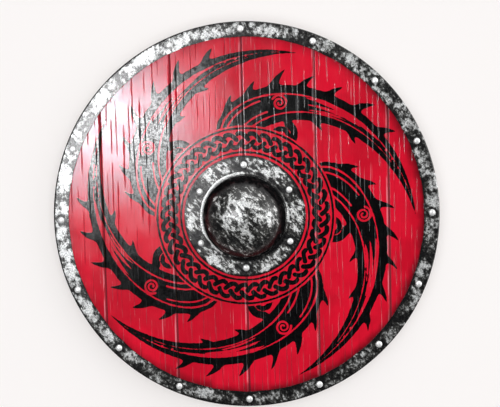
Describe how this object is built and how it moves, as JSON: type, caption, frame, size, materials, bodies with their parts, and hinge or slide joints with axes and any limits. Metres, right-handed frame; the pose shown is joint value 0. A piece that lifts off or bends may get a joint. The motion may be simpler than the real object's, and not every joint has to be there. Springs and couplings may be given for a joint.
{
  "type": "wooden round shield",
  "caption": "Flat round board shield with a riveted steel rim, a domed steel boss over the hand hole and a wooden grip across the back.",
  "frame": {"origin": "middle of the grip's flat underside, on which the shield rests when it lies face up", "axes": "+Z out of the painted face, +Y along the boards towards the top of the shield, +X to the viewer's right"},
  "size_m": [0.61, 0.61, 0.0912],
  "materials": {
    "painted_boards": "red and black gloss paint over softwood boards, bare wood at the back",
    "rim_iron": "black paint rubbed back to bright steel in patches",
    "boss_iron": "black paint rubbed back to bright steel in patches",
    "grip_wood": "oiled bare wood",
    "rivet_steel": "worn bright steel"
  },
  "bodies": {
    "root": {"board_1": "painted_boards", "board_2": "painted_boards", "board_3": "painted_boards", "board_4": "painted_boards", "board_5": "painted_boards", "board_6": "painted_boards", "rim_channel": "rim_iron", "boss": "boss_iron", "grip": "grip_wood", "rim_rivet_1": "rivet_steel", "rim_rivet_2": "rivet_steel", "rim_rivet_3": "rivet_steel", "rim_rivet_4": "rivet_steel", "rim_rivet_5": "rivet_steel", "rim_rivet_6": "rivet_steel", "rim_rivet_7": "rivet_steel", "rim_rivet_8": "rivet_steel", "rim_rivet_9": "rivet_steel", "rim_rivet_10": "rivet_steel", "rim_rivet_11": "rivet_steel", "rim_rivet_12": "rivet_steel", "rim_rivet_13": "rivet_steel", "rim_rivet_14": "rivet_steel", "rim_rivet_15": "rivet_steel", "rim_rivet_16": "rivet_steel", "boss_rivet_1": "rivet_steel", "boss_rivet_2": "rivet_steel", "boss_rivet_3": "rivet_steel", "boss_rivet_4": "rivet_steel", "boss_rivet_5": "rivet_steel", "boss_rivet_6": "rivet_steel"}
  },
  "joints": []
}
